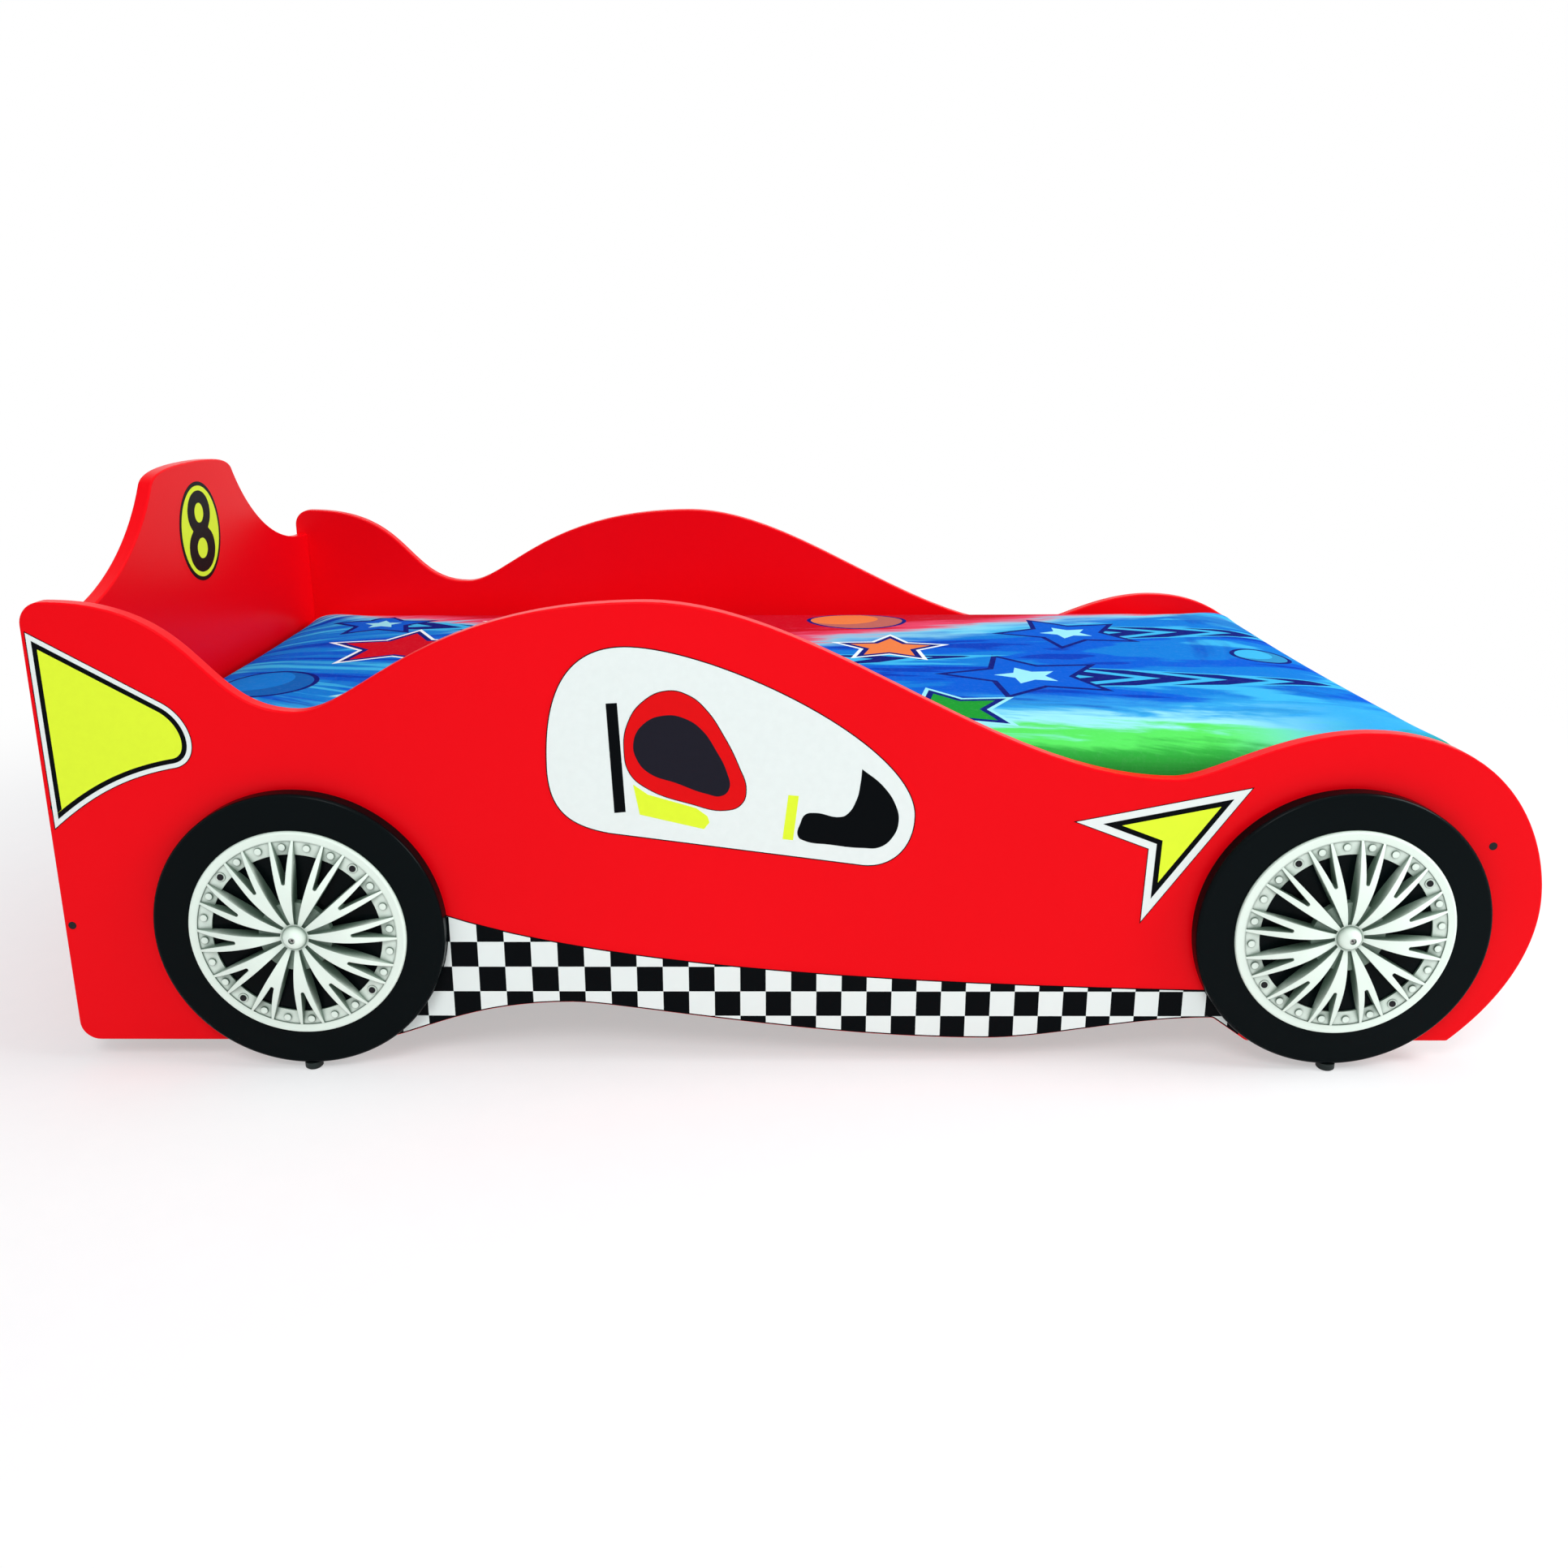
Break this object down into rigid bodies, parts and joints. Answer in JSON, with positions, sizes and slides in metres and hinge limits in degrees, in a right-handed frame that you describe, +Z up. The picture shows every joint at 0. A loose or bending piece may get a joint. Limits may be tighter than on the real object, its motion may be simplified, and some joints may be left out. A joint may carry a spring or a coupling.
{
  "type": "children's car bed",
  "caption": "Child's bed shaped like a racing car: two curved side panels with wheel discs, spoiler headboard, low footboard, slatted base and mattress",
  "frame": {"origin": "on the floor, in the middle of the bed's outer box", "axes": "+X towards the nose of the car, +Y to its left side, +Z up"},
  "size_m": [1.486, 0.8214, 0.589],
  "materials": {
    "red_board": "board painted satin red",
    "black_disc": "board painted gloss black",
    "white_cover": "moulded off-white plastic, gloss",
    "dark_glide": "dark moulded plastic",
    "pine": "planed softwood",
    "mattress_cover": "printed stretch fabric, blue",
    "black_screw": "black steel screw",
    "zinc_screw": "zinc plated steel screw",
    "window_print": "printed film, white window with a dark outline",
    "tail_print": "printed film, yellow with a white edge",
    "arrow_print": "printed film, yellow arrow with black and white edges",
    "checker_print": "printed film, black and white squares",
    "number_print": "printed film, black number on yellow"
  },
  "bodies": {
    "bed": {"arrow_film_left": "arrow_print", "arrow_film_right": "arrow_print", "checker_film_left": "checker_print", "checker_film_right": "checker_print", "cleat_left": "pine", "cleat_right": "pine", "cleat_screws": "zinc_screw", "cover_screws": "black_screw", "disc_screws": "zinc_screw", "footboard": "red_board", "glide_front_left": "dark_glide", "glide_front_right": "dark_glide", "glide_rear_left": "dark_glide", "glide_rear_right": "dark_glide", "headboard": "red_board", "hub_screws": "black_screw", "number_film": "number_print", "panel_screws": "black_screw", "side_panel_left": "red_board", "side_panel_right": "red_board", "slat_01": "pine", "slat_02": "pine", "slat_03": "pine", "slat_04": "pine", "slat_05": "pine", "slat_06": "pine", "slat_07": "pine", "slat_08": "pine", "slat_09": "pine", "slat_10": "pine", "slat_11": "pine", "slat_screws": "zinc_screw", "tail_light_film_left": "tail_print", "tail_light_film_right": "tail_print", "tyre_front_left": "black_disc", "tyre_front_right": "black_disc", "tyre_rear_left": "black_disc", "tyre_rear_right": "black_disc", "wheel_cover_front_left": "white_cover", "wheel_cover_front_right": "white_cover", "wheel_cover_rear_left": "white_cover", "wheel_cover_rear_right": "white_cover", "window_film_left": "window_print", "window_film_right": "window_print"},
    "mattress": {"mattress": "mattress_cover"}
  },
  "joints": [
    {"name": "mattress_lift", "type": "slide", "parent": "bed", "child": "mattress", "axis": [0, 0, 1], "range_m": [0, 0.4]}
  ]
}
